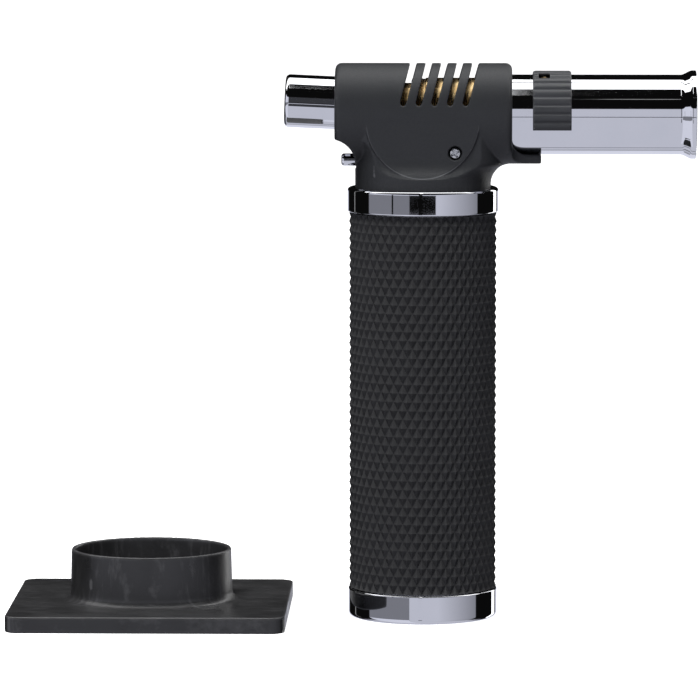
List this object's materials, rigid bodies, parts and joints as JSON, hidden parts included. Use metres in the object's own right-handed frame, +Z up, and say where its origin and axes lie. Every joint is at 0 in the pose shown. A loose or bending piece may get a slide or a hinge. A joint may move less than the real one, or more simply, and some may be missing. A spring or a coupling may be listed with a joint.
{
  "type": "butane torch",
  "caption": "Upright butane hand torch with a knurled cylindrical tank handle, push igniter, vented head, air collar and flared nozzle, beside its loose square stand.",
  "frame": {"origin": "middle of the footprint of torch and stand together, on the bench they both stand on", "axes": "+Z up, the nozzle points towards +X, the torch's right-hand side faces -Y, the stand is towards -X"},
  "size_m": [0.1716, 0.0696, 0.1395],
  "materials": {
    "chrome_plate": "bright chrome plate on brass and zinc",
    "grip_rubber": "moulded rubber with a diamond knurl",
    "black_glass_nylon": "matt moulded glass-filled nylon",
    "black_acetal": "satin moulded acetal",
    "black_styrene": "satin moulded styrene with handling smudges",
    "drawn_aluminium": "drawn, satin",
    "white_nylon": "natural moulded nylon",
    "seal_rubber": "black nitrile",
    "filter_felt": "pressed felt",
    "turned_brass": "turned brass with heat tint on the burner",
    "bright_steel": "bright steel",
    "zinc_plate": "zinc-plated steel",
    "drawn_copper": null,
    "white_ceramic": null,
    "wire_cover": "silicone-covered lead"
  },
  "bodies": {
    "torch": {"fuel_tank": "drawn_aluminium", "bottom_ring": "chrome_plate", "grip_sleeve": "grip_rubber", "top_collar": "chrome_plate", "tank_plug": "white_nylon", "plug_seal": "seal_rubber", "dip_tube": "white_nylon", "dip_filter": "filter_felt", "refill_valve_body": "turned_brass", "refill_gasket": "seal_rubber", "refill_nut": "bright_steel", "refill_spring": "bright_steel", "valve_body": "turned_brass", "head_bracket": "bright_steel", "housing_right": "black_glass_nylon", "housing_left": "black_glass_nylon", "housing_screw_right": "zinc_plate", "housing_screw_left": "zinc_plate", "nozzle_tube": "chrome_plate", "burner_tube": "turned_brass", "burner_plug": "turned_brass", "burner_seal": "seal_rubber", "gas_jet": "turned_brass", "mixing_tube": "bright_steel", "flame_holder": "bright_steel", "electrode": "bright_steel", "electrode_insulator": "white_ceramic", "ignition_wire": "wire_cover", "feed_tube": "drawn_copper", "piezo_body": "black_acetal", "piezo_spring": "bright_steel", "piezo_element": "white_ceramic"},
    "igniter": {"igniter_button": "chrome_plate", "piezo_plunger": "white_nylon"},
    "flow_control": {"flow_lever": "chrome_plate", "flow_dial": "black_acetal", "valve_spindle": "bright_steel"},
    "air_control": {"air_collar": "black_acetal"},
    "refill_needle": {"refill_stem": "turned_brass"},
    "loose_stand": {"stand": "black_styrene"}
  },
  "joints": [
    {"name": "igniter_press", "type": "slide", "parent": "torch", "child": "igniter", "axis": [0.999, 0, -0.0454], "range_m": [0, 0.005], "stiffness_N_per_m": 600, "springref_m": -0.002, "deforming": ["piezo_spring"]},
    {"name": "flow_lever_turn", "type": "hinge", "parent": "torch", "child": "flow_control", "pos_m": [0.0175, 0, 0.1152], "axis": [0, 0, -1], "range_deg": [0, 50]},
    {"name": "air_collar_turn", "type": "hinge", "parent": "torch", "child": "air_control", "pos_m": [0.04975, 0, 0.1266], "axis": [1, 0, 0], "range_deg": [-30, 30]},
    {"name": "refill_stem_press", "type": "slide", "parent": "torch", "child": "refill_needle", "axis": [0, 0, 1], "range_m": [0, 0.0015], "stiffness_N_per_m": 500, "springref_m": -0.001, "deforming": ["refill_spring"]},
    {"name": "stand_slide", "type": "slide", "parent": "torch", "child": "loose_stand", "axis": [1, 0, 0], "range_m": [-0.06, 0.012]}
  ]
}
